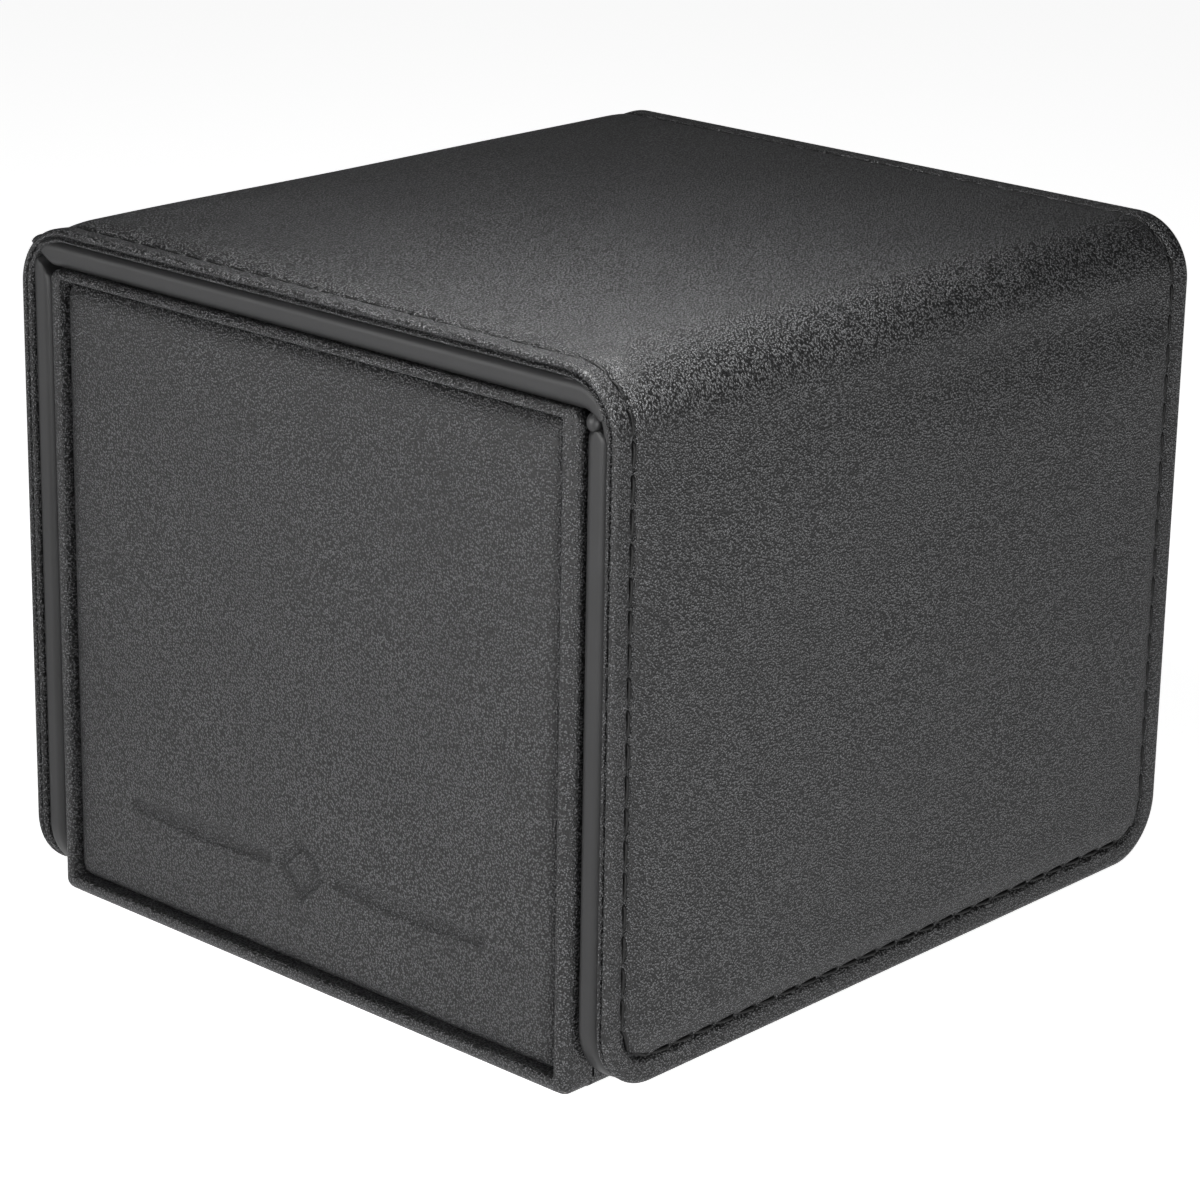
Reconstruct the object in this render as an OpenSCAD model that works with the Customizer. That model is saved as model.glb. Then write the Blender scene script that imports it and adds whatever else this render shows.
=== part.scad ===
// Card deck box: a rigid box for sleeved cards inside a soft magnetic cover.
// Front is -Y (padded panel), the fixed leg is -X, the closure flap is +X.
// The origin is the middle of the footprint, on the table. Millimetres.

/* [Overall] */
// width across the two outer side faces of the cover
cover_w = 97; // [88:1:120]
// length of the cover, front edge to rear edge
cover_d = 104; // [96:1:130]
// height from the table to the cover's top face
cover_h = 84.5; // [70:0.5:110]

/* [Cover] */
// outer skin and stiffener of a cover panel, together
shell_t = 1.6; // [1.4:0.1:2.6]
// outer skin alone
skin_t = 0.8; // [0.6:0.1:1]
// soft pad that lines the cover
pad_t = 3; // [2:0.25:4]
// outer radius of the two top folds
fold_r = 7.75; // [6:0.25:9]
// radius of the lower corners of the leg and of the flap
corner_r = 7.75; // [6:0.25:10]
// radius of the turned outer edge of the skin
edge_r = 1.2; // [0.6:0.1:1.4]
// height of the leg's and the flap's lower edge above the table
leg_lift = 2.1; // [1:0.1:5]
// distance of the stitch line from the edge
stitch_in = 3.1; // [2.6:0.1:4]

/* [Box] */
// gap between the cover's side pads and the box
side_gap = 0.8; // [0.5:0.1:1.5]
// gap between the top pad and the box's rim
lid_gap = 0.3; // [0.3:0.1:1]
// board of the box's walls and floor
board_t = 1.4; // [1.2:0.1:2.4]
// leather wrapped over the box
wrap_t = 0.6; // [0.4:0.1:0.8]
// microfibre inside the box
felt_t = 0.8; // [0.5:0.1:1.5]
// how far the box's end ridges stand in front of the cover's edge
ridge_out = 0.5; // [0:0.1:1.5]
// depth of the recess that the end panel sits in
recess = 2.5; // [2:0.1:4]
// how far the end panel's face lies behind the ridge
panel_sink = 0.6; // [0.3:0.1:1]
// gap all round the end panel
panel_gap = 0.4; // [0.3:0.1:0.8]

/* [Magnets] */
// diameter of each magnet
magnet_d = 12; // [8:0.5:14]
// thickness of the magnets in the flap
magnet_t = 1.5; // [1:0.1:1.8]
// distance of each magnet from the middle of the flap
magnet_y = 25; // [15:1:35]
// height of the magnets above the table
magnet_z = 20; // [14:1:40]

/* [Hidden] */
$fn = 96;
half_w = cover_w / 2;
half_d = cover_d / 2;
seam_x = half_w - shell_t;          // seam between skin and pad, side faces
seam_z = cover_h - shell_t;         // the same, top face
pad_x = seam_x - pad_t;             // pad's inner face, sides
pad_z = seam_z - pad_t;             // pad's underside, top
fold_x = half_w - fold_r;           // where the folds meet the flat panels
fold_z = cover_h - fold_r;
box_x = pad_x - side_gap;           // box outside, half width
box_y = half_d + ridge_out;         // box outside, half length
box_z = pad_z - lid_gap;            // box rim
wall_x = box_x - wrap_t;            // outside of the side boards
wall_y = box_y - wrap_t;            // ends of the side boards
wall_z = box_z - wrap_t;            // top of the wall boards
in_x = wall_x - board_t;            // inside of the side boards
end_y = box_y - recess;             // outside of the end walls' boards
in_y = end_y - board_t;             // inside of the end walls' boards
floor_z = wrap_t + board_t;         // top of the floor board
felt_x = in_x - felt_t;             // the cards' space
felt_y = in_y - felt_t;
felt_z = floor_z + felt_t;
rim_strip = 0.4;                    // height of the strip over each end recess
panel_x = in_x - panel_gap;         // end panel, half width
panel_z0 = floor_z + panel_gap;
panel_z1 = wall_z - rim_strip - panel_gap;
panel_y = box_y - panel_sink;       // end panel's face
panel_r = 1;                        // rounding of the end panel's edges
panel_skin = 0.8;                   // padded leather of the end panel
mark_depth = 0.3;                   // depth of the pressed ornament
mark_z = 15;                        // height of the pressed ornament
pad_in = 0.3;                       // pads stop this far inside the skin's edge
pad_r = 1.2;                        // rounding of the pads' edges
mitre = 0.2;                        // play at the pads' mitred corners
board_in = 1;                       // stiffeners stop this far inside the edge
groove_w = 0.7;                     // stitch channel
groove_t = 0.4;
thread_w = 0.5;                     // thread in the channel
thread_t = 0.3;
fit = 0.05;                         // radial play round the magnets
bond_in = 8;                        // the glued area stops this far inside the leg
box_r = 1;                          // rounding of the box's upright corners
big = 300;                          // larger than the whole object

leather = [0.07, 0.07, 0.075];
lining = [0.09, 0.09, 0.09];
felt = [0.05, 0.05, 0.055];
greyboard = [0.45, 0.43, 0.4];
steel = [0.75, 0.75, 0.77];
cotton = [0.02, 0.02, 0.02];

// ---- shapes used by more than one piece

// a block between two corners
module block(low, high) { translate(low) cube(high - low); }

// rectangle with four round corners
module round_rect(w, h, r) {
    square([w - 2 * r, h], center = true);
    square([w, h - 2 * r], center = true);
    for (sx = [-1, 1], sy = [-1, 1])
        translate([sx * (w / 2 - r), sy * (h / 2 - r)]) circle(r);
}

// side view of the leg or flap: lower corners round, upper end cut off square
module leg_outline(inset, top) {
    r = corner_r - inset;
    w = half_d - inset;
    low = leg_lift + inset;
    translate([-w, low + r]) square([2 * w, top - low - r]);
    translate([r - w, low]) square([2 * (w - r), r]);
    for (s = [-1, 1]) translate([s * (w - r), low + r]) circle(r);
}

// stands a side view up at a distance x from the middle, t thick
module upright(x, t) { translate([x, 0, 0]) rotate([90, 0, 90]) linear_extrude(t) children(); }

// a strip t thick whose outer edges are rounded, seen along the strip
module turned_edge(t) {
    translate([0, -half_d]) square([t - edge_r, cover_d]);
    translate([0, edge_r - half_d]) square([t, cover_d - 2 * edge_r]);
    for (s = [-1, 1]) intersection() {
        translate([t - edge_r, s * (half_d - edge_r)]) circle(edge_r);
        translate([0, -half_d]) square([t, cover_d]);
    }
}

// outer skin of the flap or (mirrored) the leg, with its turned edge and stitch channel
module side_skin() {
    difference() {
        union() {
            upright(seam_x, shell_t - edge_r) leg_outline(0, fold_z);
            upright(seam_x, shell_t) leg_outline(edge_r, fold_z);
            for (s = [-1, 1]) {
                translate([half_w - edge_r, s * (half_d - edge_r), leg_lift + corner_r])
                    cylinder(h = fold_z - leg_lift - corner_r, r = edge_r);
                translate([half_w - edge_r, s * (half_d - corner_r), leg_lift + corner_r])
                    rotate([90, 0, 90]) rotate([0, 0, s > 0 ? 270 : 180])
                        rotate_extrude(angle = 90) translate([corner_r - edge_r, 0]) circle(edge_r);
            }
            translate([half_w - edge_r, half_d - corner_r, leg_lift + edge_r])
                rotate([90, 0, 0]) cylinder(h = cover_d - 2 * corner_r, r = edge_r);
        }
        upright(seam_x - edge_r, edge_r) leg_outline(-edge_r, fold_z + 1);
        upright(seam_x - edge_r, edge_r + shell_t - skin_t) leg_outline(board_in, fold_z + 1);
        upright(half_w - groove_t, big) side_channel(groove_w, fold_z + 1);
    }
}

// the stitch line of the flap or leg as a narrow U
module side_channel(w, top) {
    difference() {
        leg_outline(stitch_in - w / 2, top);
        leg_outline(stitch_in + w / 2, top + 1);
    }
}

module side_thread() {
    upright(half_w - groove_t, thread_t) side_channel(thread_w, fold_z);
}

module side_board() {
    upright(seam_x, shell_t - skin_t) leg_outline(board_in, fold_z);
}

// section through the pads, looking along the folds
module pad_section() {
    r = fold_r - shell_t;
    difference() {
        union() {
            translate([-seam_x, 0]) square([2 * seam_x, seam_z - r]);
            translate([r - seam_x, 0]) square([2 * (seam_x - r), seam_z]);
            for (s = [-1, 1]) translate([s * (seam_x - r), seam_z - r]) circle(r);
        }
        translate([-pad_x, -1]) square([2 * pad_x, pad_z + 1]);
    }
}

// pad of the flap or (mirrored) the leg, mitred at its upper end
module side_pad() {
    reach = pad_t + fold_r;
    intersection() {
        translate([0, half_d, 0]) rotate([90, 0, 0]) linear_extrude(cover_d)
            intersection() {
                pad_section();
                polygon([[pad_x, pad_z - mitre], [pad_x + reach, pad_z - mitre + reach],
                         [big, pad_z + reach], [big, 0], [pad_x, 0]]);
            }
        translate([seam_x - pad_t / 2, 0, 0])
            linear_extrude(cover_h) round_rect(pad_t, cover_d - 2 * pad_in, pad_r);
        upright(0, big) leg_outline(pad_in, cover_h);
    }
}

// quarter round fold on the +X side; the inner face clears the pads
module fold() {
    in_r = fold_r - shell_t + mitre;
    translate([fold_x, 0, fold_z]) rotate([90, 0, 0]) rotate_extrude(angle = 90)
        difference() {
            translate([in_r, 0]) turned_edge(fold_r - in_r);
            for (s = [-1, 1])
                translate([fold_r - groove_t, s * (half_d - stitch_in) - groove_w / 2])
                    square([1, groove_w]);
        }
}

module fold_thread() {
    translate([fold_x, 0, fold_z]) rotate([90, 0, 0]) rotate_extrude(angle = 90)
        for (s = [-1, 1])
            translate([fold_r - groove_t, s * (half_d - stitch_in) - thread_w / 2])
                square([thread_t, thread_w]);
}

// padded cover of the front end panel, hollow behind for its board
module panel_cover() {
    h = panel_z1 - panel_z0;
    t = panel_y - end_y;
    difference() {
        intersection() {
            translate([0, 0, panel_z0]) linear_extrude(h) panel_profile(2 * panel_x, t);
            translate([-panel_x, 0, panel_z0 + h / 2]) rotate([0, 90, 0])
                linear_extrude(2 * panel_x) panel_profile(h, t);
        }
        panel_board(1);
    }
}

// the panel seen edge on: flat against the wall, round at the face
module panel_profile(w, t) {
    translate([-w / 2, -end_y - t + panel_r]) square([w, t - panel_r]);
    translate([panel_r - w / 2, -end_y - t]) square([w - 2 * panel_r, t]);
    for (s = [-1, 1]) translate([s * (w / 2 - panel_r), -end_y - t + panel_r]) circle(panel_r);
}

// board of the front end panel; extra lengthens it backwards for cutting
module panel_board(extra) {
    block([panel_skin - panel_x, panel_skin - panel_y, panel_z0 + panel_skin],
          [panel_x - panel_skin, extra - end_y, panel_z1 - panel_skin]);
}

// pressed ornament: a lozenge between two bars
module mark() {
    s = 6;
    translate([0, mark_depth - panel_y, mark_z]) rotate([90, 0, 0]) linear_extrude(big) {
        rotate(45) square(s, center = true);
        for (d = [-1, 1]) translate([d * 3 * s, 0]) square([4 * s, s / 4], center = true);
    }
}

module at_magnets(x) {
    for (s = [-1, 1]) translate([x, s * magnet_y, magnet_z]) rotate([0, 90, 0]) children();
}

// ---- the box

module floor_board() color(greyboard)
    block([-wall_x, -wall_y, wrap_t], [wall_x, wall_y, floor_z]);

module left_wall_board() color(greyboard)
    block([-wall_x, -wall_y, floor_z], [-in_x, wall_y, wall_z]);

module right_wall_board() color(greyboard) difference() {
    block([in_x, -wall_y, floor_z], [wall_x, wall_y, wall_z]);
    at_magnets(in_x - 1) cylinder(h = board_t + 2, d = magnet_d + 2 * fit);
}

module front_wall_board() color(greyboard)
    block([-in_x, -end_y, floor_z], [in_x, -in_y, wall_z]);

module rear_wall_board() color(greyboard)
    block([-in_x, in_y, floor_z], [in_x, end_y, wall_z]);

module front_rim_strip() color(greyboard)
    block([-in_x, -wall_y, wall_z - rim_strip], [in_x, -end_y, wall_z]);

module rear_rim_strip() mirror([0, 1, 0]) front_rim_strip();

// thin leather drawn round the sides and turned over the rim and the end ridges
module box_wrap() color(leather) difference() {
    translate([0, 0, wrap_t]) linear_extrude(box_z - wrap_t)
        round_rect(2 * box_x, 2 * box_y, box_r);
    block([-wall_x, -wall_y, 0], [wall_x, wall_y, wall_z]);
    block([-felt_x, -felt_y, 0], [felt_x, felt_y, big]);
    block([-in_x, -big, floor_z], [in_x, big, wall_z - rim_strip]);
}

module base_sheet() color(leather)
    linear_extrude(wrap_t) round_rect(2 * box_x, 2 * box_y, box_r);

module front_panel_board() color(greyboard) panel_board(0);

module front_panel_cover() color(leather) difference() { panel_cover(); mark(); }

module rear_panel_board() mirror([0, 1, 0]) front_panel_board();

module rear_panel_cover() color(leather) mirror([0, 1, 0]) panel_cover();

module floor_felt() color(felt)
    block([-in_x, -in_y, floor_z], [in_x, in_y, felt_z]);

module left_felt() color(felt)
    block([-in_x, -in_y, felt_z], [-felt_x, in_y, wall_z]);

module right_felt() mirror([1, 0, 0]) left_felt();

module front_felt() color(felt)
    block([-felt_x, -in_y, felt_z], [felt_x, -felt_y, wall_z]);

module rear_felt() mirror([0, 1, 0]) front_felt();

module box_magnets() color(steel)
    at_magnets(in_x) cylinder(h = board_t, d = magnet_d);

// ---- the cover's fixed leg, glued to the box's left side

module leg_bond() color(lining)
    block([-pad_x, bond_in - half_d, leg_lift + bond_in], [-box_x, half_d - bond_in, pad_z - bond_in]);

module leg_skin() color(leather) mirror([1, 0, 0]) side_skin();

module leg_board() color(greyboard) mirror([1, 0, 0]) side_board();

module leg_pad() color(lining) mirror([1, 0, 0]) side_pad();

module leg_thread() color(cotton) mirror([1, 0, 0]) side_thread();

// ---- the top panel between its two folds

module left_fold() color(leather) mirror([1, 0, 0]) fold();

module left_fold_thread() color(cotton) mirror([1, 0, 0]) fold_thread();

module top_skin() color(leather) difference() {
    translate([-fold_x, 0, seam_z]) rotate([0, 90, 0]) rotate([0, 0, 180])
        linear_extrude(2 * fold_x) turned_edge(shell_t);
    block([-big, board_in - half_d, 0], [big, half_d - board_in, cover_h - skin_t]);
    for (s = [-1, 1])
        translate([0, s * (half_d - stitch_in), cover_h])
            cube([big, groove_w, 2 * groove_t], center = true);
}

module top_board() color(greyboard)
    block([-fold_x, board_in - half_d, seam_z], [fold_x, half_d - board_in, cover_h - skin_t]);

module top_pad() color(lining) {
    reach = pad_t + fold_r;
    low = pad_x - mitre;
    intersection() {
        translate([0, half_d, 0]) rotate([90, 0, 0]) linear_extrude(cover_d)
            intersection() {
                pad_section();
                polygon([[-low, pad_z], [low, pad_z], [low + reach, pad_z + reach],
                         [-low - reach, pad_z + reach]]);
            }
        translate([-half_w, 0, seam_z - pad_t / 2]) rotate([0, 90, 0])
            linear_extrude(cover_w) round_rect(pad_t, cover_d - 2 * pad_in, pad_r);
    }
}

module top_thread() color(cotton) for (s = [-1, 1])
    translate([0, s * (half_d - stitch_in), cover_h - groove_t + thread_t / 2])
        cube([2 * fold_x, thread_w, thread_t], center = true);

module right_fold() color(leather) fold();

module right_fold_thread() color(cotton) fold_thread();

// ---- the closure flap

module flap_skin() color(leather) side_skin();

module flap_board() color(greyboard) side_board();

module flap_pad() color(lining) difference() {
    side_pad();
    at_magnets(seam_x - magnet_t) cylinder(h = big, d = magnet_d + 2 * fit);
}

module flap_magnets() color(steel)
    at_magnets(seam_x - magnet_t) cylinder(h = magnet_t, d = magnet_d);

module flap_thread() color(cotton) side_thread();

floor_board();
left_wall_board();
right_wall_board();
front_wall_board();
rear_wall_board();
front_rim_strip();
rear_rim_strip();
box_wrap();
base_sheet();
front_panel_board();
front_panel_cover();
rear_panel_board();
rear_panel_cover();
floor_felt();
left_felt();
right_felt();
front_felt();
rear_felt();
box_magnets();
leg_bond();
leg_skin();
leg_board();
leg_pad();
leg_thread();
left_fold();
left_fold_thread();
top_skin();
top_board();
top_pad();
top_thread();
right_fold();
right_fold_thread();
flap_skin();
flap_board();
flap_pad();
flap_magnets();
flap_thread();
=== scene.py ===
import bpy
import bmesh
import numpy as np
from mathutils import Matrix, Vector


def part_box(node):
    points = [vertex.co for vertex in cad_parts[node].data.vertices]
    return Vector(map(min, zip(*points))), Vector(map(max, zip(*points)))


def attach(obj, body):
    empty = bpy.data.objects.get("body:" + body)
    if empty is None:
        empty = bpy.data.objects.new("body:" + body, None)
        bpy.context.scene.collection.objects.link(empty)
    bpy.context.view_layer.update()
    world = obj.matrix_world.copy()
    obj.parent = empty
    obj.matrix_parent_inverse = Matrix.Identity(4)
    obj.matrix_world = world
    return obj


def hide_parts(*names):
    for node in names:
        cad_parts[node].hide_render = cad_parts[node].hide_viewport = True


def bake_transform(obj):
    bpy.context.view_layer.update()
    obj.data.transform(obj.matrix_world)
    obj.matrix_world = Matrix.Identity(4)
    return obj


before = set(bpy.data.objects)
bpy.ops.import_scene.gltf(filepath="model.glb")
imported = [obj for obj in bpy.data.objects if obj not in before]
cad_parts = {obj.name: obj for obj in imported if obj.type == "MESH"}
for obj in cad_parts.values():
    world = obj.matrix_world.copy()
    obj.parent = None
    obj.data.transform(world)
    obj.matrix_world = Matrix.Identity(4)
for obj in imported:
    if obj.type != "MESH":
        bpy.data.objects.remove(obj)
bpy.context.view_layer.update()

MM = 0.001
scene = bpy.context.scene


# ---------------------------------------------------------------- boards
# Greyboard walls, floor and stiffeners, cut from sheet and glued edge to edge.
# They are wholly covered, and carry the plain CAD shape with a raw board finish.

class Tone:
    """A socket in a material. Arithmetic on it adds Math nodes; numbers may stand on either side."""

    def __init__(self, finish, socket):
        self.finish, self.socket = finish, socket

    def calc(self, operation, *terms):
        return self.finish.node("ShaderNodeMath", {"operation": operation}, dict(enumerate(terms)))

    def __add__(self, other): return self.calc("ADD", self, other)
    def __radd__(self, other): return self.calc("ADD", other, self)
    def __sub__(self, other): return self.calc("SUBTRACT", self, other)
    def __rsub__(self, other): return self.calc("SUBTRACT", other, self)
    def __mul__(self, other): return self.calc("MULTIPLY", self, other)
    def __rmul__(self, other): return self.calc("MULTIPLY", other, self)

    def step(self, low, high):
        """0 below low, 1 above high, smooth between."""
        return self.finish.node("ShaderNodeMapRange", {"interpolation_type": "SMOOTHSTEP"},
                                {"Value": self, "From Min": low, "From Max": high})


class Finish:
    """A material: a Principled shader with fixed values on its own sockets, plus whatever nodes are added."""

    def __init__(self, name, **fixed):
        self.material = bpy.data.materials.new(name)
        self.material.use_nodes = True
        self.tree = self.material.node_tree
        self.shader = self.tree.nodes["Principled BSDF"]
        for words, value in fixed.items():
            socket = words.replace("_", " ").title().replace("Ior", "IOR")
            self.shader.inputs[socket].default_value = value
        self.place = self.node("ShaderNodeTexCoord", out="Object")

    def node(self, kind, settings={}, inputs={}, out=0):
        """Adds a node with its settings and its inputs, which are numbers or tones; gives one output."""
        made = self.tree.nodes.new(kind)
        for words, value in settings.items():
            setattr(made, words, value)
        for key, value in inputs.items():
            if isinstance(value, Tone):
                self.tree.links.new(value.socket, made.inputs[key])
            else:
                made.inputs[key].default_value = value
        return Tone(self, made.outputs[out])

    def mix(self, share, first, second):
        """A colour between two colours."""
        made = self.tree.nodes.new("ShaderNodeMix")
        made.data_type = "RGBA"
        for socket, value in ((made.inputs[0], share), (made.inputs[6], first), (made.inputs[7], second)):
            if isinstance(value, Tone):
                self.tree.links.new(value.socket, socket)
            else:
                socket.default_value = (*value, 1.0) if hasattr(value, "__len__") else value
        return Tone(self, made.outputs[2])

    def feed(self, words, tone):
        """Drives one input of the shader."""
        self.tree.links.new(tone.socket, self.shader.inputs[words])

    def relief(self, height, distance, strength=1.0, under=None):
        """A bump of the given height in metres; under is another bump it lies on."""
        inputs = {"Height": height, "Distance": distance, "Strength": strength}
        if under is not None:
            inputs["Normal"] = under
        return self.node("ShaderNodeBump", {}, inputs)

    def noise(self, scale, detail=2.0, roughness=0.5, out="Fac"):
        """Cloudy variation, scale in cycles for each metre."""
        return self.node("ShaderNodeTexNoise", {}, {"Vector": self.place, "Scale": scale, "Detail": detail,
                                                    "Roughness": roughness}, out)


def raw_greyboard():
    """Recycled board: mottled grey-brown with short fibres."""
    f = Finish("raw greyboard", roughness=0.85)
    fibre = f.noise(900, 5, 0.7)
    f.feed("Base Color", f.mix(fibre.step(0.3, 0.7), (0.27, 0.25, 0.22), (0.42, 0.39, 0.35)))
    f.feed("Normal", f.relief(fibre, 0.00008))
    return f.material


def dress(nodes, material):
    """Gives plain CAD pieces their material."""
    for n in nodes:
        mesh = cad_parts[n].data
        mesh.materials.clear()
        mesh.materials.append(material)


dress(["floor_board", "left_wall_board", "right_wall_board", "front_wall_board", "rear_wall_board",
       "front_rim_strip", "rear_rim_strip", "front_panel_board", "rear_panel_board",
       "leg_board", "top_board", "flap_board"], raw_greyboard())


# ---------------------------------------------------------------- box wrap
# One thin sheet of black leatherette drawn round the board box, turned over the
# rim and over the two end ridges, and glued down.

def leatherette():
    """Black polyurethane leather: shallow pebbles about a quarter of a millimetre wide with finer pores
    between, slightly uneven sheen, crowns painted light as painted glints and pits dark as painted shade."""
    f = Finish("black leatherette", roughness=0.35, specular_ior_level=0.5)
    warp = f.noise(2500, 2, 0.5, out="Color")
    bent = f.node("ShaderNodeVectorMath", {"operation": "MULTIPLY_ADD"},
                  {0: warp, 1: (0.00014,) * 3, 2: f.place})
    pebble = f.node("ShaderNodeTexVoronoi", {"feature": "F1"},
                    {"Vector": bent, "Scale": 3900.0, "Randomness": 1.0}, "Distance")
    crown = 1.0 - pebble.step(0.1, 0.72)
    fine = f.noise(9000, 3, 0.6)
    broad = f.noise(110, 3, 0.55)
    # painted glints on the pebble crowns and painted shade in the pits between, laid into the base colour
    painted_grain_glints_and_shade = (crown * 0.8 + fine * 0.2).step(0.27, 1.0) * (0.75 + broad * 0.5)
    f.feed("Base Color", f.mix(painted_grain_glints_and_shade, (0.004, 0.004, 0.0042), (0.105, 0.106, 0.1095)))
    f.feed("Roughness", 0.24 + broad * 0.12 + (1.0 - crown) * 0.18)
    f.feed("Normal", f.relief(crown + fine * 0.15, 0.00012, 1.0))
    return f.material


def surface(name, patches, material, smooth=True, weld=2e-6, outward=True):
    """A mesh from grids of points. Each patch is an array (rows, columns, 3) in metres, and equal points are
    welded. outward turns the faces of a closed shape outwards."""
    points, faces, count = [], [], 0
    for grid in patches:
        rows, cols = grid.shape[:2]
        index = np.arange(rows * cols).reshape(rows, cols) + count
        quads = np.stack([index[:-1, :-1], index[1:, :-1], index[1:, 1:], index[:-1, 1:]], -1)
        faces.append(quads.reshape(-1, 4))
        points.append(grid.reshape(-1, 3))
        count += rows * cols
    return from_faces(name, np.concatenate(points), np.concatenate(faces).tolist(), material, smooth, weld,
                      outward)


def from_faces(name, points, faces, material, smooth=True, weld=2e-6, outward=True):
    """A mesh object from points and faces: welded, without needless faces, and shaded smooth."""
    mesh = bpy.data.meshes.new(name)
    mesh.from_pydata(np.asarray(points, float).tolist(), [], faces)
    work = bmesh.new()
    work.from_mesh(mesh)
    bmesh.ops.remove_doubles(work, verts=work.verts, dist=weld)
    bmesh.ops.dissolve_degenerate(work, edges=work.edges, dist=weld)
    loose = [v for v in work.verts if not v.link_faces]
    bmesh.ops.delete(work, geom=loose, context="VERTS")
    if outward:
        bmesh.ops.recalc_face_normals(work, faces=work.faces)
    work.to_mesh(mesh)
    work.free()
    mesh.polygons.foreach_set("use_smooth", np.full(len(mesh.polygons), smooth))
    mesh.materials.append(material)
    piece = bpy.data.objects.new(name, mesh)
    scene.collection.objects.link(piece)
    return piece


def sharpen(piece, degrees=40):
    """Edges that turn more than the given angle are shaded as creases."""
    work = bmesh.new()
    work.from_mesh(piece.data)
    for e in work.edges:
        if len(e.link_faces) == 2 and e.calc_face_angle(0) > np.radians(degrees):
            e.smooth = False
    work.to_mesh(piece.data)
    work.free()
    return piece


def arc(cx, cy, r, a0, a1, n):
    """Points on an arc, from angle a0 to a1 in degrees."""
    a = np.radians(np.linspace(a0, a1, n))
    return np.stack([cx + r * np.cos(a), cy + r * np.sin(a)], 1)


def round_rings(half_u, low, high, radius, n_side=8, n_corner=7):
    """Round-cornered rectangles, one for each row of the sizes: four quarter circles joined by straight
    sides, anticlockwise from the lower right corner and closed. Gives an array (rows, points, 2)."""
    sizes = np.broadcast_arrays(*(np.atleast_1d(np.asarray(v, float)) for v in (half_u, low, high, radius)))
    u, lo, hi, r = (v[:, None] for v in sizes)
    corners = []
    for k, (side, up) in enumerate(((1, 0), (1, 1), (-1, 1), (-1, 0))):
        a = np.radians(np.linspace(-90, 0, n_corner) + 90 * k)
        middle = hi - r if up else lo + r
        corners.append(np.stack([side * (u - r) + r * np.cos(a), middle + r * np.sin(a)], -1))
    t = np.linspace(0, 1, n_side + 1)[1:-1, None]
    parts = []
    for k, part in enumerate(corners):
        start, end = part[:, -1:], corners[(k + 1) % 4][:, :1]
        parts += [part, start + (end - start) * t]
    return np.concatenate(parts + [corners[0][:, :1]], 1)


black = leatherette()
wrap_low, wrap_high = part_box("box_wrap")
wall_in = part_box("right_wall_board")[0].x
wall_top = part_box("right_wall_board")[1].z
recess_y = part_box("front_wall_board")[0].y
mouth_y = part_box("front_felt")[1].y
mouth_x = -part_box("left_felt")[1].x
rim_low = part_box("front_rim_strip")[0].z
base_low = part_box("base_sheet")[0].z


def end_collar(sign):
    """The raised ridge round an end of the box: a closed section (outer side, round crest, groove wall)
    carried round the rectangle of the end. Inset is measured from the box's outside; the top is narrower."""
    over = 0.06 * MM          # the wrap covers the board's cut face by this much
    ridge = wrap_high.x - wall_in + over
    deep = abs(wrap_low.y) - abs(mouth_y)
    r_out, r_in, sharpest = 1.5 * MM, 0.42 * MM, 0.12 * MM
    outer = arc(r_out, r_out, r_out, 180, 270, 9)
    inner = arc(ridge - r_in, r_in, r_in, 270, 360, 9)
    section = np.concatenate([[[0, deep]], [[0, deep * 0.5]], outer, inner, [[ridge, deep * 0.5]],
                              [[ridge, deep]], [[ridge * 0.5, deep]], [[0, deep]]])
    narrow = (wrap_high.z - rim_low + over) / ridge
    inset, back = section.T
    radius = np.maximum(r_out - inset, sharpest)
    rings = round_rings(wrap_high.x - inset, base_low + inset, wrap_high.z - inset * narrow, radius, 24)
    y = np.broadcast_to(sign * (abs(wrap_low.y) - back)[:, None], rings.shape[:2])
    return np.stack([rings[..., 0], y, rings[..., 1]], -1)


def side_sheet(sign):
    """The wrap over a side wall: up the outside, round the rim and down to the lining, carried along it."""
    outside, inside, top, r = wrap_high.x, mouth_x, wrap_high.z, 0.55 * MM
    foot_r = 1.3 * MM
    hidden, foot = outside - foot_r, base_low + 0.02 * MM
    section = np.concatenate([[[hidden, foot]], arc(hidden, base_low + foot_r, foot_r, -90, 0, 8),
                              [[outside, 20 * MM]], [[outside, 60 * MM]],
                              arc(outside - r, top - r, r, 0, 90, 7), arc(inside + r, top - r, r, 90, 180, 7),
                              [[inside, wall_top - 1 * MM]], [[inside + 1 * MM, wall_top - 2 * MM]],
                              [[hidden, wall_top - 4 * MM]], [[hidden, foot]]])
    y = np.linspace(mouth_y - 0.3 * MM, -mouth_y + 0.3 * MM, 26)
    return np.stack([np.repeat(sign * section[:, :1], len(y), 1), np.repeat(y[None], len(section), 0),
                     np.repeat(section[:, 1:], len(y), 1)], -1)


def recess_sheet(sign):
    """The wrap glued over the end wall, at the bottom of the recess."""
    x = np.linspace(-wall_in, wall_in, 3) * 1.002
    z = np.linspace(base_low + 1.8 * MM, rim_low + 0.2 * MM, 3)
    gx, gz = np.meshgrid(x, z, indexing="ij")
    return np.stack([gx, np.full_like(gx, sign * (abs(recess_y) + 0.04 * MM)), gz], -1)


wrap = surface("leather_wrap", [end_collar(-1), end_collar(1), side_sheet(-1), side_sheet(1)], black)
sharpen(wrap, 50)
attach(wrap, "box")
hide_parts("box_wrap")

recess = surface("recess_lining", [recess_sheet(-1), recess_sheet(1)], black, outward=False)
recess.modifiers.new("thickness", "SOLIDIFY").thickness = 0.03 * MM
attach(recess, "box")


# ---------------------------------------------------------------- base sheet
# A flat piece of the same leatherette under the floor board, its edges tucked
# under the wrap. The box stands on it.

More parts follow.
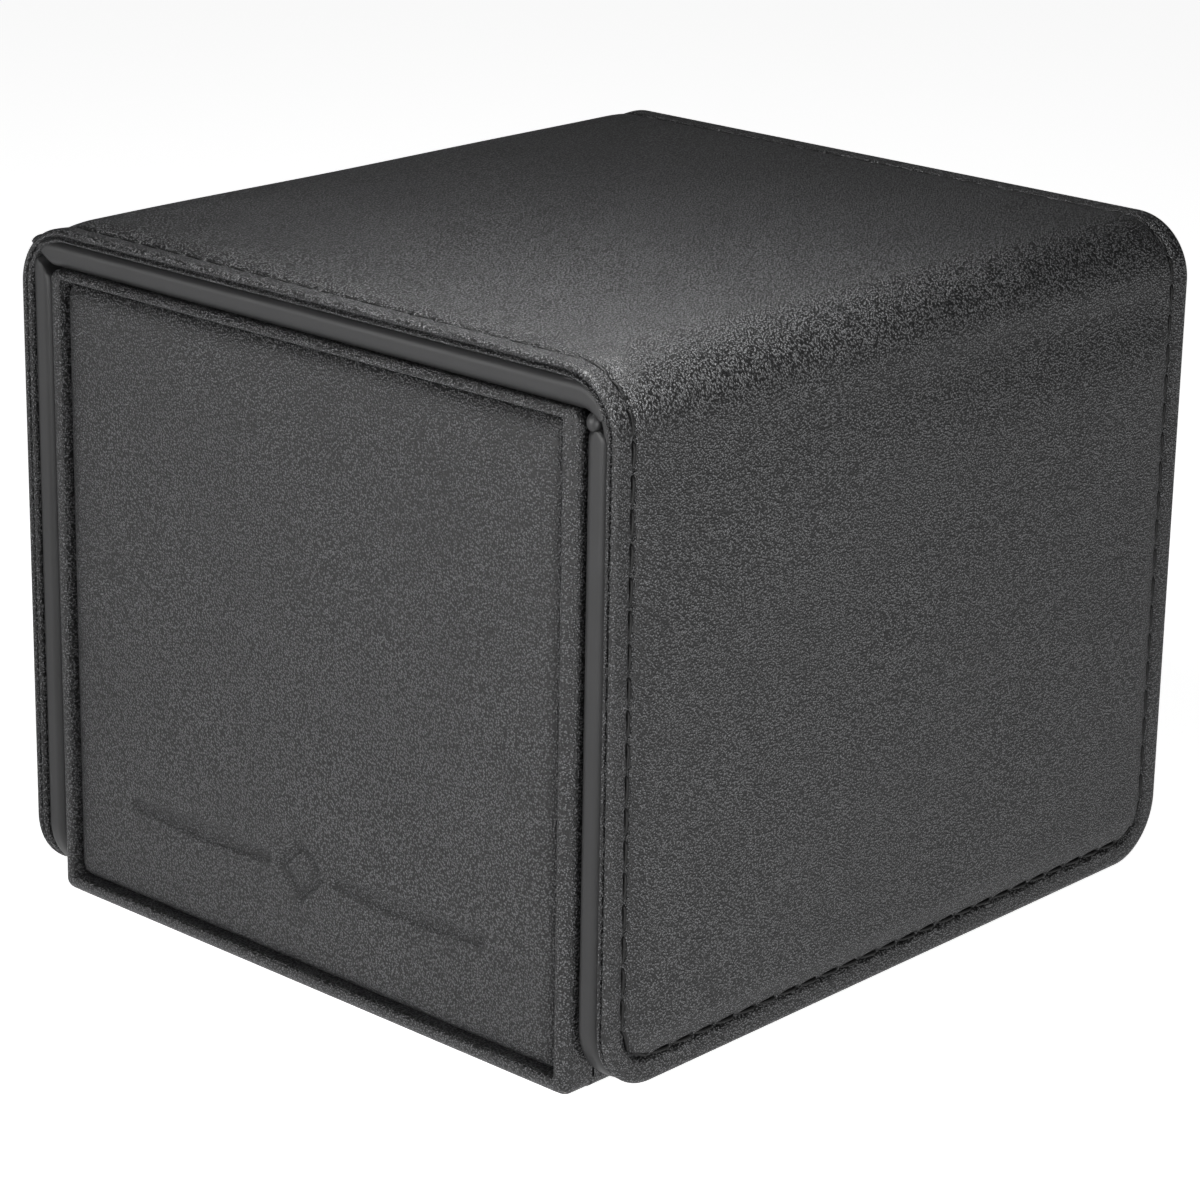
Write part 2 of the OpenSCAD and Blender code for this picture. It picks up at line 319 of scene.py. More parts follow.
def base():
    """A thin slab whose edges round up into the wrap: each ring is inset and raised by the pairs below."""
    low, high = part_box("base_sheet")
    inset, z = np.array([(45, 0), (6, 0), (1.6, 0), (1.25, 0), (0.9, 0.08), (0.7, 0.3), (0.9, 0.6),
                         (1.6, 0.62), (45, 0.62)]).T * MM
    radius = np.where(inset > 20 * MM, 0.01 * MM, 1.4 * MM)
    short = np.minimum(inset, high.x - 0.02 * MM)
    rings = round_rings(high.x - short, low.y + inset, high.y - inset, radius, 20, 5)
    return np.concatenate([rings, np.broadcast_to((low.z + z)[:, None, None], (*rings.shape[:2], 1))], -1)


sole = surface("base_leather", [base()], black)
sharpen(sole, 60)
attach(sole, "box")
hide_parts("base_sheet")


# ---------------------------------------------------------------- end panels
# Stiff panels covered in leatherette over thin foam, let into the two recesses.
# The foam rounds their edges; the front one has a plain ornament pressed in.

def spaced(*spans):
    """Positions along a line from spans (start, end, pitch) joined end to end."""
    out = [np.array([spans[0][0]])]
    for start, end, pitch in spans:
        n = max(1, int(round((end - start) / pitch)))
        out.append(start + (end - start) * np.arange(1, n + 1) / n)
    return np.concatenate(out)


def lozenge_and_bars(x, z):
    """How deeply the ornament is pressed, 0 to 1: a lozenge with an open middle between two tapered bars."""
    reach = np.abs(x) + np.abs(z)
    lozenge = np.clip((4.3 - reach) / 0.45, 0, 1) * np.clip((reach - 2.2) / 0.4, 0, 1)
    bar = np.clip((1.5 - np.abs(z) - np.abs(np.abs(x) - 17.5) * 0.055) / 0.4, 0, 1) \
        * np.clip((12.5 - np.abs(np.abs(x) - 17.5)) / 0.5, 0, 1)
    return np.maximum(lozenge, bar)


def end_panel(name, node, sign, marked):
    """A cushion over a rectangle: height follows a quarter ellipse in from each edge, then swells a little
    towards the middle. The back is flat and closed."""
    low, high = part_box(node)
    half_x, z0, z1 = high.x / MM, low.z / MM, high.z / MM
    thick, board = (high.y - low.y) / MM, abs(recess_y) / MM
    rim, edge_step = 3, 0.2                  # width of the finely meshed edge
    mark_z, mark_x, mark_up = 15.0, 32, 5.5  # middle, half length and half height of the ornament's mesh
    x0, x1 = -half_x, half_x
    if marked:
        x = spaced((x0, x0 + rim, edge_step), (x0 + rim, -mark_x, 0.9), (-mark_x, mark_x, 0.3),
                   (mark_x, x1 - rim, 0.9), (x1 - rim, x1, edge_step))
        z = spaced((z0, z0 + rim, edge_step), (z0 + rim, mark_z - mark_up, 0.7),
                   (mark_z - mark_up, mark_z + mark_up, 0.3), (mark_z + mark_up, z1 - rim, 1.1),
                   (z1 - rim, z1, edge_step))
    else:
        x = spaced((x0, x0 + rim, edge_step), (x0 + rim, x1 - rim, 1.2), (x1 - rim, x1, edge_step))
        z = spaced((z0, z0 + rim, edge_step), (z0 + rim, z1 - rim, 1.2), (z1 - rim, z1, edge_step))
    gx, gz = np.meshgrid(x, z, indexing="ij")
    dx, dz = half_x - np.abs(gx), np.minimum(gz - z0, z1 - gz)
    near = np.minimum(dx, dz)
    soft = np.clip(near - 0.35 * np.exp(-((dx - dz) / 0.8) ** 2) * (near > 0.15), 0, None)
    roll, drop = 2.5, 1.45
    rise = np.sqrt(1 - (1 - np.clip(soft / roll, 0, 1)) ** 2)
    swell = 0.28 * np.clip(near / 22, 0, 1) ** 0.6
    wave = 0.09 * np.sin(gx * 0.11 + 0.6) * np.sin(gz * 0.13 + 1.1) + 0.05 * np.sin(0.09 * gx + 0.15 * gz)
    height = (thick - drop) + drop * rise + (swell + wave) * np.clip(near / 5, 0, 1)
    if marked:
        height = height - 0.42 * lozenge_and_bars(gx, gz - mark_z)
    front = np.stack([gx, sign * (board + height), gz], -1) * MM
    back = np.stack([gx, np.full_like(gx, sign * board), gz], -1) * MM
    wall = np.stack([np.concatenate([g[:, 0], g[-1, 1:], g[::-1, -1][1:], g[0, ::-1][1:]])
                     for g in (front, back)], 1)
    piece = surface(name, [front, back[[0, -1]][:, [0, -1]], wall], black)
    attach(piece, "box")
    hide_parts(node)
    return piece


end_panel("front_panel_padded", "front_panel_cover", -1, True)
end_panel("rear_panel_padded", "rear_panel_cover", 1, False)


# ---------------------------------------------------------------- felts
# Five pieces of short-napped microfibre glued inside the box, a little padded
# and soft at their edges.

def microfibre():
    """Brushed microfibre: very dark, with a soft sheen and a nap that lies in drifts."""
    f = Finish("black microfibre", roughness=0.95, specular_ior_level=0.2, sheen_weight=0.35,
               sheen_roughness=0.5)
    nap = f.noise(3200, 4, 0.7)
    drift = f.noise(45, 3, 0.6)
    pale = nap * 0.55 + drift.step(0.35, 0.65) * 0.45
    f.feed("Base Color", f.mix(pale, (0.012, 0.012, 0.013), (0.04, 0.04, 0.043)))
    f.feed("Normal", f.relief(nap, 0.00012, 0.8))
    return f.material


def swept_pad(name, line, across, half_t, half_l, corner, material, along=(0, 1, 0)):
    """A flat pad: a rounded rectangle, half_t thick one way (across) and half_l the other (along), is carried
    along a line. All have one row for each station; corner is the rounding of the section."""
    half_t = np.maximum(half_t, 1e-9)
    r = np.minimum(corner, np.minimum(half_t, half_l) * 0.999)
    rings = round_rings(half_t, -np.asarray(half_l), half_l, r)
    grid = line[:, None] + rings[..., :1] * across[:, None] + rings[..., 1:] * np.asarray(along, float)
    return surface(name, [grid], material)


def eased(n, end, reach):
    """n stations from 0 to 1 that crowd towards both ends, and how full the pad is at each: a quarter circle
    over the last reach of its length end."""
    t = np.concatenate([np.linspace(0, 1, 9)[:-1] ** 2 * reach / end,
                        np.linspace(reach / end, 1 - reach / end, n),
                        1 - (np.linspace(1, 0, 9)[1:] ** 2 * reach / end)])
    near = np.minimum(t, 1 - t) * end / reach
    return t, np.sqrt(np.clip(1 - (1 - np.clip(near, 0, 1)) ** 2, 0, 1))


def felt_sheet(node, thin):
    """A felt the size of its CAD solid; thin is the axis it is thin along."""
    low, high = np.array(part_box(node)[0]), np.array(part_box(node)[1])
    mid, half = (low + high) / 2, (high - low) / 2
    sweep_axis = 2 if thin != 2 else 0
    long_axis = ({0, 1, 2} - {thin, sweep_axis}).pop()
    t, full = eased(6, 2 * half[sweep_axis], half[thin])
    line = np.repeat(mid[None], len(t), 0)
    line[:, sweep_axis] = low[sweep_axis] + t * 2 * half[sweep_axis]
    across, along = np.zeros((len(t), 3)), np.zeros(3)
    across[:, thin], along[long_axis] = 1, 1
    piece = swept_pad(node + "_lining", line, across, half[thin] * full, np.full(len(t), half[long_axis]),
                      half[thin] * 0.95, nap_cloth, along)
    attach(piece, "box")
    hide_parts(node)


nap_cloth = microfibre()
for node_name, thin_axis in (("floor_felt", 2), ("left_felt", 0), ("right_felt", 0), ("front_felt", 1),
                             ("rear_felt", 1)):
    felt_sheet(node_name, thin_axis)


# ---------------------------------------------------------------- magnets and bond
# Nickel-plated discs let into the wall board and into the flap's pad, and the
# foam adhesive sheet that fixes the leg to the box.

def nickel():
    """Nickel plate, slightly uneven in tone and polish."""
    f = Finish("nickel plate", metallic=1.0, roughness=0.25)
    f.feed("Base Color", f.mix(f.noise(700, 3), (0.62, 0.61, 0.59), (0.78, 0.77, 0.75)))
    f.feed("Roughness", 0.2 + f.noise(1500, 3) * 0.2)
    return f.material


def foam_tape():
    """Black closed-cell foam."""
    f = Finish("foam adhesive", roughness=0.8)
    cell = f.noise(2500, 3, 0.6)
    f.feed("Base Color", f.mix(cell, (0.01, 0.01, 0.01), (0.03, 0.03, 0.03)))
    f.feed("Normal", f.relief(cell, 0.00008))
    return f.material


dress(["box_magnets", "flap_magnets"], nickel())
dress(["leg_bond"], foam_tape())


# ---------------------------------------------------------------- lining pads
# Smooth soft-touch polyurethane over foam, three pads inside the cover. Their
# rounded edges show as a plain band between the box and the stitched skin.

def soft_touch():
    """Smooth matte polyurethane: no grain, a faint mottling and a little unevenness of the foam below."""
    f = Finish("smooth lining", roughness=0.55, specular_ior_level=0.42)
    drift = f.noise(130, 3, 0.5)
    dust = f.noise(6000, 2, 0.5)
    f.feed("Base Color", f.mix(drift, (0.014, 0.014, 0.0145), (0.02, 0.02, 0.0205)))
    f.feed("Roughness", 0.4 + drift * 0.12)
    f.feed("Normal", f.relief(dust, 0.000012, 0.6, f.relief(drift, 0.0003, 0.5)))
    return f.material


lining = soft_touch()
flap_low, flap_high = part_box("flap_pad")
top_low, top_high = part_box("top_pad")
skin_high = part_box("flap_skin")[1]
half_w, cover_h = skin_high.x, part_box("top_skin")[1].z
half_d = skin_high.y
fold_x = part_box("top_skin")[1].x
fold_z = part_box("left_fold")[0].z
fold_r = half_w - fold_x
seam_x, pad_x = flap_high.x, flap_low.x
seam_z, pad_z = top_high.z, top_low.z
lower_r = 7.75 * MM
pad_r = 1.15 * MM


def round_foot(rest, radius):
    """How much narrower a panel is at a distance rest above its lower edge, for a corner of that radius."""
    near = np.clip(rest, 0, radius)
    return radius - np.sqrt(np.clip(radius ** 2 - (radius - near) ** 2, 0, None))


def side_pad(name, node, body, sign, top_z, tilt):
    """Pad of the flap (+1) or the leg (-1): a round-edged section carried down the panel, narrowing round
    the lower corners. Its upper end is level, or slants up towards the skin where tilt is given."""
    low_z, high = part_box(node)[0].z - (0.6 if sign > 0 else 1.7) * MM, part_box(node)[1]
    height = top_z - low_z
    inner = pad_x - 0.3 * MM
    mid, half_t = (inner + seam_x) / 2, (seam_x - inner) / 2
    rest = spaced((0, 9, 0.35), (9, height / MM - 3, 2.2), (height / MM - 3, height / MM, 0.15)) * MM
    end = np.minimum(rest, height - rest)
    full = np.sqrt(np.clip(1 - (1 - np.clip(end / (1.1 * MM), 0, 1)) ** 2, 0, 1))
    over = np.clip((rest - height + 3 * MM) / (3 * MM), 0, 1) ** 2 * tilt
    line = np.stack([sign * (mid + over * 0.3 * MM), 0 * rest, low_z + rest + over * 0.9 * MM], 1)
    across = np.stack([np.ones_like(over), 0 * over, sign * over], 1)
    half_l = high.y - round_foot(rest + 0.5 * MM, lower_r)
    piece = swept_pad(name, line, across, half_t * full, half_l, pad_r, lining)
    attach(piece, body)
    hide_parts(node)
    return piece


side_pad("flap_lining", "flap_pad", "flap", 1, pad_z - 2.1 * MM, 0)
side_pad("leg_lining", "leg_pad", "box", -1, pad_z - 0.6 * MM, 0.9)


def lid_pad():
    """The lid's pad: the section carried along X. Its left end is cut back on a slant over the leg's pad, and
    its right end bends down inside the fold on an arc and closes round."""
    inner = pad_z - 0.3 * MM
    mid, half_t = (inner + seam_z) / 2, (seam_z - inner) / 2
    left, turn_x, turn_r, turn = -(pad_x + 2.7 * MM), 42.6 * MM, 3.6 * MM, np.radians(68)
    end = turn_x + turn_r * turn
    s = spaced((left / MM, left / MM + 4, 0.15), (left / MM + 4, turn_x / MM, 2),
               (turn_x / MM, end / MM, 0.1)) * MM
    a = np.clip((s - turn_x) / turn_r, 0, turn)
    ends = np.minimum((s - left) / (1.3 * MM), (s[-1] - s) / (1.1 * MM))
    full = np.sqrt(np.clip(1 - (1 - np.clip(ends, 0, 1)) ** 2, 0, 1))
    slant = np.clip((-(pad_x - 0.6 * MM) - s) / (2.8 * MM), 0, 1)
    lift = slant ** 1.4 * 0.9 * MM
    thin = half_t * full * (1 - 0.4 * slant) * (1 - 0.25 * a / turn)
    line = np.stack([np.minimum(s, turn_x) + turn_r * np.sin(a), 0 * s,
                     mid + lift - turn_r * (1 - np.cos(a))], 1)
    across = np.stack([np.sin(a), 0 * a, np.cos(a)], 1)
    piece = swept_pad("lid_lining", line, across, thin, np.full(len(s), top_high.y), pad_r, lining)
    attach(piece, "lid")
    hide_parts("top_pad")


def pinched_roll():
    """Spare lining pinched into a roll in the corner: a tube along the fold with round ends that stands a
    little proud of the pads."""
    roll_x, roll_z, roll_r, tall = 44.6, 78.55, 0.95, 1.2
    reach = half_d / MM + 0.05
    y = np.concatenate([-reach + np.linspace(0, 1, 10) ** 2 * roll_r, np.linspace(-40, 40, 12),
                        reach - np.linspace(1, 0, 10) ** 2 * roll_r])
    near = np.clip((reach - np.abs(y)) / roll_r, 0, 1)
    r = roll_r * np.sqrt(np.clip(1 - (1 - near) ** 2, 0, 1))
    a = np.radians(np.linspace(0, 360, 21))
    grid = np.stack([roll_x + r[:, None] * np.cos(a), np.broadcast_to(y[:, None], (len(y), len(a))),
                     roll_z + r[:, None] * tall * np.sin(a)], -1) * MM
    piece = surface("pinched_lining_roll", [grid], lining)
    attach(piece, "lid")


pinched_roll()
lid_pad()


# ---------------------------------------------------------------- fold linings
# Where the cover folds, the lining runs on without foam, as a thin strip glued
# under the skin. It follows the curve of the fold.

def fold_lining(name, sign, front):
    """A quarter-round strip inside the fold; front is how far it reaches towards the front edge."""
    r, n = fold_r - (half_w - seam_x) - 0.5 * MM, 26
    a = np.radians(np.linspace(-12, 100, n))
    line = np.stack([sign * (fold_x + r * np.sin(a)), 0 * a, fold_z + r * np.cos(a)], 1)
    across = np.stack([sign * np.sin(a), 0 * a, np.cos(a)], 1)
    end = np.minimum(np.arange(n), np.arange(n - 1, -1, -1)) / 3
    full = np.sqrt(1 - (1 - np.clip(end, 0, 1)) ** 2)
    piece = swept_pad(name, line, across, 0.45 * MM * full, np.full(n, front), 0.4 * MM, lining)
    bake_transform(piece)
    return piece


fold_lining("right_fold_lining", 1, half_d - 0.6 * MM)
fold_lining("left_fold_lining", -1, half_d - 3 * MM)


# ---------------------------------------------------------------- cover skin
# The outer leatherette over its stiffeners: one long strip, turned in at the
# edge, top-stitched all round and soft over the two folds. It is made in two
# halves that meet along the middle of the lid, each laid round one fold.

STITCH_IN = 3.1        # stitch line to edge, millimetres
FOOT_R = lower_r / MM  # corner of the leg and of the flap
flat = fold_x / MM
quarter = fold_r / MM * np.pi / 2
FOOT_Z = {-1: 0.5, 1: 1.5}   # height of the lower edge of the leg and of the flap, millimetres
N_SIDE, N_CORNER, N_FOOT = 32, 2, 24     # stitches along a side, round a corner, along the foot
PER = 12                                 # mesh steps for each stitch


def strip_end(sign):
    """Length of half the strip, from the middle of the lid to its lower edge."""
    return flat + quarter + fold_z / MM - FOOT_Z[sign]


def outline_run(sign):
    """The edge of half the strip as stations: centre of curvature, direction outwards, how far out, and the
    stitch count there. It goes up one side from the middle of the lid, round the foot and back."""
    w = half_d / MM
    core_w, side_run = w - FOOT_R, strip_end(sign) - FOOT_R
    s1 = np.linspace(0, side_run, N_SIDE * PER + 1)
    s1[1] = 0.01
    a1 = np.radians(np.linspace(0, 90, N_CORNER * PER + 1))
    y3 = np.linspace(-core_w, core_w, N_FOOT * PER + 1)
    base_pts = [np.stack([s1, np.full_like(s1, -core_w)], 1)]
    out_dir = [np.tile([0.0, -1.0], (len(s1), 1))]
    base_pts.append(np.tile([side_run, -core_w], (len(a1) - 1, 1)))
    out_dir.append(np.stack([np.sin(a1[1:]), -np.cos(a1[1:])], 1))
    base_pts.append(np.stack([np.full(len(y3) - 1, side_run), y3[1:]], 1))
    out_dir.append(np.tile([1.0, 0.0], (len(y3) - 1, 1)))
    base_pts.append(np.tile([side_run, core_w], (len(a1) - 1, 1)))
    out_dir.append(np.stack([np.cos(a1[1:]), np.sin(a1[1:])], 1))
    base_pts.append(np.stack([s1[::-1][1:], np.full(len(s1) - 1, core_w)], 1))
    out_dir.append(np.tile([0.0, 1.0], (len(s1) - 1, 1)))
    stitch = np.arange(sum(len(b) for b in base_pts)) / PER
    return np.concatenate(base_pts), np.concatenate(out_dir), stitch


def skin_height(s, y, inset, stitch, sign):
    """How far the skin stands off its nominal face, in millimetres. From the edge inwards: a low rim, the
    stitch channel with a pucker at each hole, then the fuller main face."""
    phase = np.abs((stitch % 1.0) - 0.5) * 2           # 0 mid-stitch, 1 at the hole
    sunk = 1 - 0.6 * np.clip((phase - 0.7) / 0.3, 0, 1) ** 2
    off = inset - STITCH_IN - 0.26 * ((stitch % 1.0) - 0.5)
    h = -0.62 * sunk * np.exp(-(off / 0.34) ** 2) - 0.12 * np.exp(-((inset - STITCH_IN) / 1.4) ** 2)
    full = np.clip((inset - STITCH_IN) / 3.2, 0, 1)
    main = full * full * (3 - 2 * full)
    h = h + (0.34 if sign > 0 else 0.34 - 0.24 * np.clip((s - flat + 4) / 6, 0, 1)) * main
    # lazy unevenness of the glued face
    x = sign * s
    lazy = 0.10 * np.sin(0.075 * x + 0.9) * np.sin(0.06 * y + 0.4) + 0.05 * np.sin(0.16 * x + 0.11 * y)
    h = h + main * lazy
    # the skin is unsupported over the fold: it sinks between the boards, more towards the rear
    bend = (s - flat) / quarter
    rear = 0.5 + 0.5 * np.tanh((y + 5) / 22)
    low_line = np.exp(-((bend - 1.12) / 0.42) ** 2)
    h = h - main * low_line * (0.1 + 0.85 * rear) * (sign > 0)
    crown = np.exp(-((bend - 0.3) / 0.38) ** 2)
    h = h + main * crown * (0.25 - 0.15 * rear) * (sign > 0)
    return h


def wrap_round(s, y, h, sign):
    """Lays flat strip coordinates over the lid, the fold and the side panel: s runs from the middle of the
    lid, h stands off the face. Millimetres in, metres out."""
    turn = np.clip((s - flat) / quarter, 0, 1) * np.pi / 2
    past = np.clip(s - flat - quarter, 0, None)
    before = np.minimum(s, flat)
    r = fold_r / MM
    x = before + r * np.sin(turn) + h * np.sin(turn)
    z = fold_z / MM + r * np.cos(turn) + h * np.cos(turn) - past
    return np.stack([sign * x, y, z], -1) * MM


def half_cover(name, sign, nodes):
    """Half the skin. Fine rings follow the edge to just inside the stitches, a row of wide faces halves their
    number by four, and coarse rings and a plain grid fill the middle."""
    core, out, stitch = outline_run(sign)
    w = half_d / MM
    depth = FOOT_R
    fine = np.array([0.8, 1.15, 1.6, 2.0, 2.3, 2.5, 2.65, 2.8, 2.9, 3.0, 3.1, 3.2, 3.3, 3.4, 3.55, 3.75,
                     4.0, 4.3, 4.7])
    coarse = np.array([5.4, 6.2, 7.0, depth])

    def ring(inset, kept=slice(None)):
        """One ring of points, that far in from the edge."""
        c, o, k = core[kept], out[kept], stitch[kept]
        p = c + o * (depth - inset)
        return wrap_round(p[:, 0], p[:, 1], skin_height(p[:, 0], p[:, 1], inset, k, sign), sign)

    # the turned edge, as inset and height: lining-side lip, the valley of the seam, outer lip
    edge = np.array([(2.2, -1.6), (1.0, -1.6), (0.5, -1.58), (0.25, -1.53), (0.1, -1.43), (0.05, -1.3),
                     (0.12, -1.19), (0.3, -1.09), (0.55, -0.99), (0.66, -0.92), (0.52, -0.85), (0.25, -0.78),
                     (0.07, -0.67), (0.0, -0.52), (0.03, -0.36), (0.12, -0.22), (0.28, -0.11), (0.52, -0.03)])
    p = core + out * (depth - edge[:, :1, None])
    under = list(wrap_round(p[..., 0], p[..., 1], np.broadcast_to(edge[:, 1:], p.shape[:2]), sign))
    rings = np.array(under + [ring(i) for i in fine])
    last = len(core) - 1
    keep = np.unique(np.concatenate([np.arange(0, last + 1, 4), [1, last - 1]]))
    inner = np.array([ring(i, keep) for i in coarse])

    n_fine, n_coarse = rings.shape[1], inner.shape[1]
    points = [rings.reshape(-1, 3), inner.reshape(-1, 3)]
    idx = np.arange(rings.shape[0] * n_fine).reshape(rings.shape[0], n_fine)
    quads = np.stack([idx[:-1, :-1], idx[:-1, 1:], idx[1:, 1:], idx[1:, :-1]], -1).reshape(-1, 4)
    idc = np.arange(inner.shape[0] * n_coarse).reshape(inner.shape[0], n_coarse) + idx.size
    quads_c = np.stack([idc[:-1, :-1], idc[:-1, 1:], idc[1:, 1:], idc[1:, :-1]], -1).reshape(-1, 4)
    wide = [idx[-1, keep[i]:keep[i + 1] + 1].tolist() + [int(idc[0, i + 1]), int(idc[0, i])]
            for i in range(n_coarse - 1)]
    # plain grid inside the innermost ring
    on_side = keep[keep <= N_SIDE * PER]
    s_line = core[on_side, 0]
    y_line = np.linspace(-(w - depth), w - depth, N_FOOT * PER // 4 + 1)
    gs, gy = np.meshgrid(s_line, y_line, indexing="ij")
    side_k = np.broadcast_to(stitch[on_side][:, None], gs.shape)
    inset = np.minimum(np.minimum(w - np.abs(gy), strip_end(sign) - gs), 60.0)
    grid = wrap_round(gs, gy, skin_height(gs, gy, inset, side_k, sign), sign)
    start = idx.size + idc.size
    idg = np.arange(grid.shape[0] * grid.shape[1]).reshape(grid.shape[:2]) + start
    quads_g = np.stack([idg[:-1, :-1], idg[1:, :-1], idg[1:, 1:], idg[:-1, 1:]], -1).reshape(-1, 4)
    points.append(grid.reshape(-1, 3))
    faces = quads.tolist() + quads_c.tolist() + wide + quads_g.tolist()
    if sign > 0:
        faces = [f[::-1] for f in faces]
    piece = from_faces(name, np.concatenate(points), faces, black, outward=False)
    if sum(p.normal.z for p in piece.data.polygons if p.center.z > cover_h - 1 * MM) < 0:
        piece.data.flip_normals()
    thick = piece.modifiers.new("thickness", "SOLIDIFY")
    thick.thickness, thick.offset = 0.6 * MM, -1
    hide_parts(*nodes)
    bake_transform(piece)
    return piece


half_cover("cover_skin_left", -1, ("leg_skin", "left_fold"))
half_cover("cover_skin_right", 1, ("top_skin", "right_fold", "flap_skin"))


# ---------------------------------------------------------------- stitching
# Black polyester thread in a lockstitch about 3.7 mm long. Each stitch lies in
# the channel, a little askew, and dives into a hole at both ends.

def polyester():
    """Black twisted thread: a little lighter on the plies."""
    f = Finish("black thread", roughness=0.6, specular_ior_level=0.35)
    ply = f.noise(4000, 2)
    f.feed("Base Color", f.mix(ply, (0.002, 0.002, 0.002), (0.008, 0.008, 0.008)))
    f.feed("Normal", f.relief(ply, 0.00006))
    return f.material


thread = polyester()


def stitch_row(name, sign, nodes):
    """Every stitch of half the cover: a bent tube from hole to hole, in strip coordinates, then laid over the
    cover. The tube's height follows an arch and its width a flattened circle."""
    core, out, _ = outline_run(sign)
    depth = FOOT_R
    holes = np.arange(0, len(core), PER)
    p = core + out * (depth - STITCH_IN)
    a, b = p[holes[:-1]], p[holes[1:]]
    run = b - a
    length = np.linalg.norm(run, axis=1, keepdims=True)
    run = run / length
    side = np.stack([-run[:, 1], run[:, 0]], 1)
    n_t, n_r = 11, 8
    t = np.linspace(0.07, 0.93, n_t)
    ang = np.linspace(0, 2 * np.pi, n_r, endpoint=False)
    arch = -0.38 - 0.5 * np.abs(2 * t - 1) ** 4
    skew = -0.13 * (2 * t - 1)
    r = 0.24 * np.sqrt(np.clip(1 - np.abs(2 * t - 1) ** 8 * 0.6, 0, 1))
    centre = a[:, None] + run[:, None] * (length[:, None] * t[None, :, None])
    centre = centre + side[:, None] * skew[None, :, None]
    off = side[:, None, None] * (np.cos(ang)[None, None, :, None] * r[None, :, None, None])
    flat_pts = centre[:, :, None] + off
    height = arch[None, :, None] + r[None, :, None] * np.sin(ang)[None, None]
    height = np.broadcast_to(height, flat_pts.shape[:3])
    pts = wrap_round(flat_pts[..., 0], flat_pts[..., 1], height, sign)
    m = len(pts)
    index = np.arange(m * n_t * n_r).reshape(m, n_t, n_r)
    nxt = np.roll(index, -1, axis=2)
    quads = np.stack([index[:, :-1], nxt[:, :-1], nxt[:, 1:], index[:, 1:]], -1).reshape(-1, 4).tolist()
    caps = index[:, 0, ::-1].tolist() + index[:, -1].tolist()
    piece = from_faces(name, pts.reshape(-1, 3), quads + caps, thread, weld=1e-9)
    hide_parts(*nodes)
    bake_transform(piece)
    return piece


stitch_row("stitches_left", -1, ("leg_thread", "left_fold_thread"))
stitch_row("stitches_right", 1, ("top_thread", "right_fold_thread", "flap_thread"))


# ---------------------------------------------------------------- studio
# A plain white floor and backdrop, a surround that is bright below and dim above,
# and five soft panels: overhead, in front, to the right, front left and rear left.

def white_studio():
    """White paper that glows enough to show no shadow edge."""
    f = Finish("white studio", roughness=0.9, specular_ior_level=0.1, emission_strength=0.9)
    f.shader.inputs["Emission Color"].default_value = (1, 1, 1, 1)
    f.feed("Base Color", f.mix(f.noise(3, 2), (0.86, 0.86, 0.86), (0.88, 0.88, 0.88)))
    return f.material


floor_half, floor_z = 6, -0.0001
floor_x, floor_y = np.meshgrid([-floor_half, floor_half], [-floor_half, floor_half], indexing="ij")
floor = surface("studio_floor", [np.stack([floor_x, floor_y, np.full((2, 2), floor_z)], -1)],
                white_studio(), smooth=False, outward=False)
if floor.data.polygons[0].normal.z < 0:
    floor.data.flip_normals()
floor.visible_glossy = False


def dome(name, radius, material, steps=(8, 32)):
    """Half a sphere over the floor: height sin(a), reach cos(a), turned once round the z axis."""
    rise = np.linspace(-0.02, np.pi / 2, steps[0])[:, None]
    turn = np.linspace(0, 2 * np.pi, steps[1] + 1)[None, :]
    grid = np.stack([radius * np.cos(rise) * np.cos(turn), radius * np.cos(rise) * np.sin(turn),
                     radius * np.sin(rise) + 0 * turn], -1)
    return surface(name, [grid], material, weld=1e-4, outward=False)


# The backdrop shows behind the object only: it neither lights it nor shades it.
backdrop = dome("studio_backdrop", 5.0, white_studio())
for ray in ("diffuse", "glossy", "transmission", "volume_scatter", "shadow"):
    setattr(backdrop, "visible_" + ray, False)

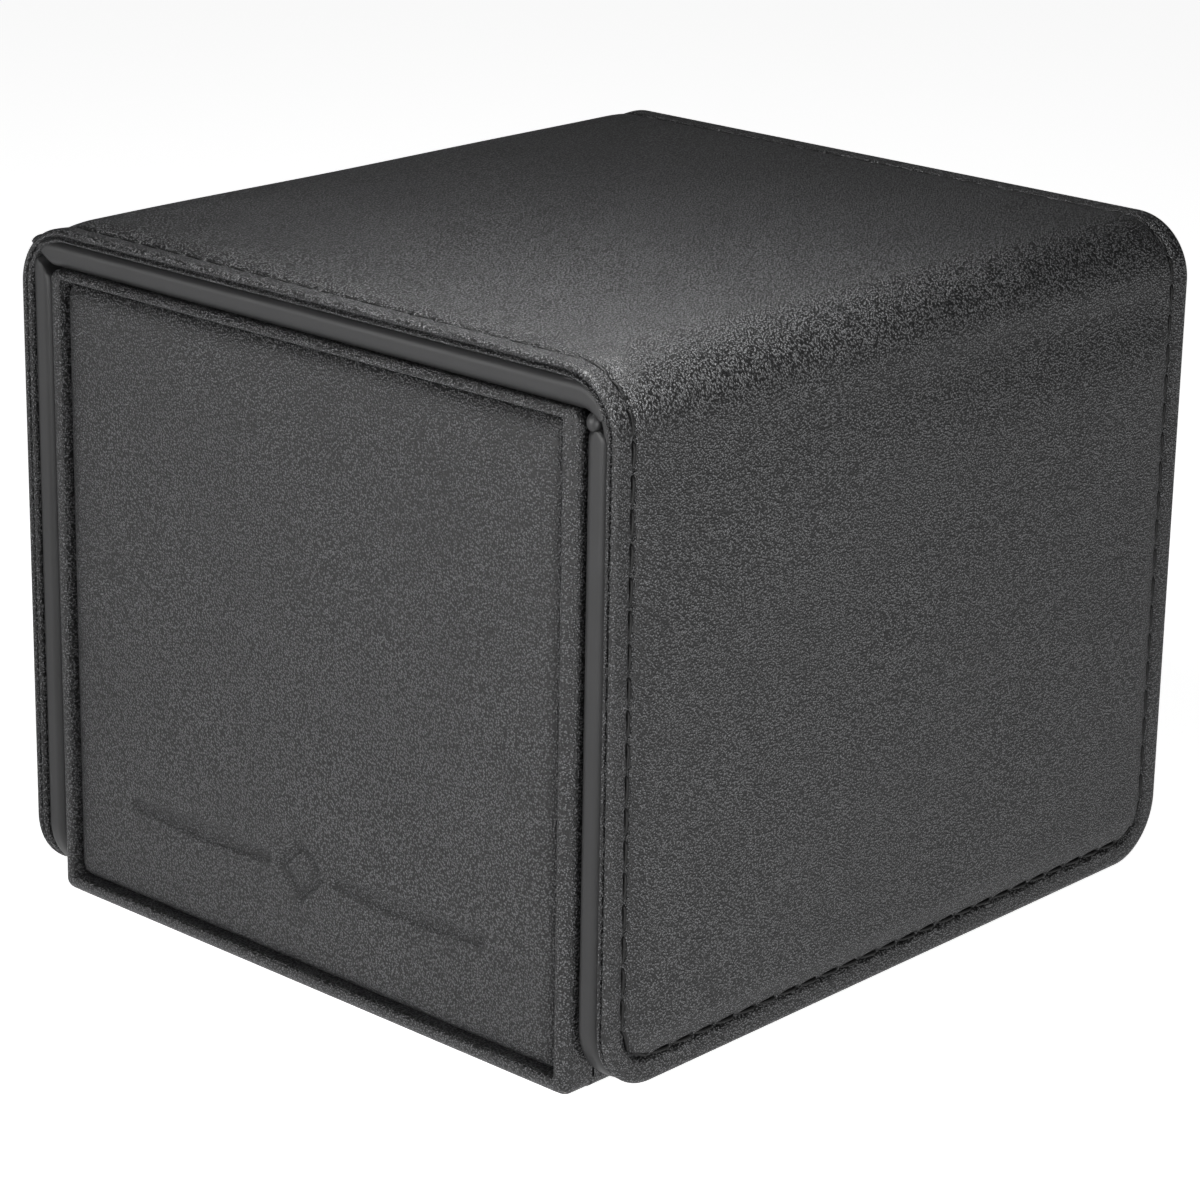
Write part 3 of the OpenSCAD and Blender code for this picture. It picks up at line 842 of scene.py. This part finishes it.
world = bpy.data.worlds.new("studio")
scene.world = world
world.use_nodes = True
sky = world.node_tree
where, apart, lifted, ramp = (sky.nodes.new("ShaderNode" + kind)
                              for kind in ("TexCoord", "SeparateXYZ", "Math", "ValToRGB"))
lifted.operation = "MULTIPLY_ADD"    # from -1 below and 1 above to 0 and 1
lifted.inputs[1].default_value, lifted.inputs[2].default_value = 0.5, 0.5
for source, target in ((where.outputs["Generated"], apart.inputs[0]), (apart.outputs["Z"], lifted.inputs[0]),
                       (lifted.outputs[0], ramp.inputs[0]),
                       (ramp.outputs[0], sky.nodes["Background"].inputs["Color"])):
    sky.links.new(source, target)
stops = ramp.color_ramp.elements
stops[0].position, stops[0].color = 0.28, (1.0, 1.0, 1.01, 1)
stops[1].position, stops[1].color = 0.50, (0.03, 0.03, 0.03, 1)


def panel_light(name, at, size, power, aim=(0, 0, 0.05)):
    """A square soft panel, unseen by the camera; size in metres, power in watts."""
    data = bpy.data.lights.new(name, "AREA")
    data.shape, data.size, data.size_y = "RECTANGLE", size, size
    data.energy = power
    lamp = bpy.data.objects.new(name, data)
    lamp.visible_camera = False
    scene.collection.objects.link(lamp)
    lamp.location = at
    lamp.rotation_euler = (Vector(aim) - Vector(at)).to_track_quat("-Z", "Y").to_euler()


panel_light("overhead", (0.036, -0.044, 0.17), 0.05, 0.27, aim=(0.03, -0.038, 0.05))
panel_light("front_near", (0.04, -0.22, 0.10), 0.08, 0.24)
panel_light("right_near", (0.22, -0.11, 0.05), 0.08, 0.3)
panel_light("left_front", (-0.5, -0.7, 0.12), 0.25, 1.65)
panel_light("rear_left", (-0.25, 0.27, 0.36), 0.25, 0.11)

eye = bpy.data.cameras.new("camera")
eye.lens, eye.sensor_width = 118.09155, 36
eye.shift_x, eye.shift_y = -0.0002941667, -0.0229483333
camera = bpy.data.objects.new("camera", eye)
scene.collection.objects.link(camera)
camera.location = (0.312921, -0.343586, 0.193048)
camera.rotation_euler = (1.251758, -0.017052, 0.745909)
eye.clip_start, eye.clip_end = 0.01, 50
scene.camera = camera
scene.view_settings.view_transform = "Standard"
